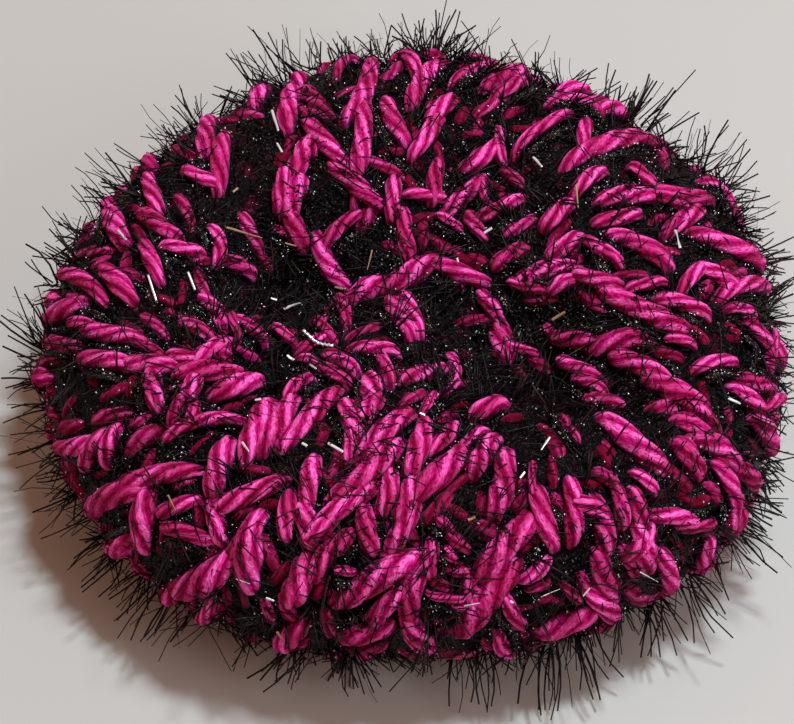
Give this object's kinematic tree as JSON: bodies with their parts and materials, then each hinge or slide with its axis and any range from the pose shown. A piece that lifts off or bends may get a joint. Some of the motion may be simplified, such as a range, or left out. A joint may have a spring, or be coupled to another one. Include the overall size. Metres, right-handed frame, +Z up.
{
  "type": "knitted yarn dish scrubber",
  "caption": "Round puffy pad knitted from thick pink cotton and black lash yarn, drawn in at the middle of both faces and bristling all over, for washing up.",
  "frame": {"origin": "on the surface the pad rests on, under the middle of its bounding box", "axes": "+Z up through the gathered middle, -Y towards the near edge in the picture, +X to its right"},
  "size_m": [0.1262, 0.1243, 0.0422],
  "materials": {
    "pink_cotton": "matte, thick plied cotton with a soft nap",
    "black_lash": "glossy thin filaments with small silver glints"
  },
  "bodies": {
    "root": {"knitted_pad": "pink_cotton", "lash_yarn": "black_lash"}
  },
  "joints": []
}
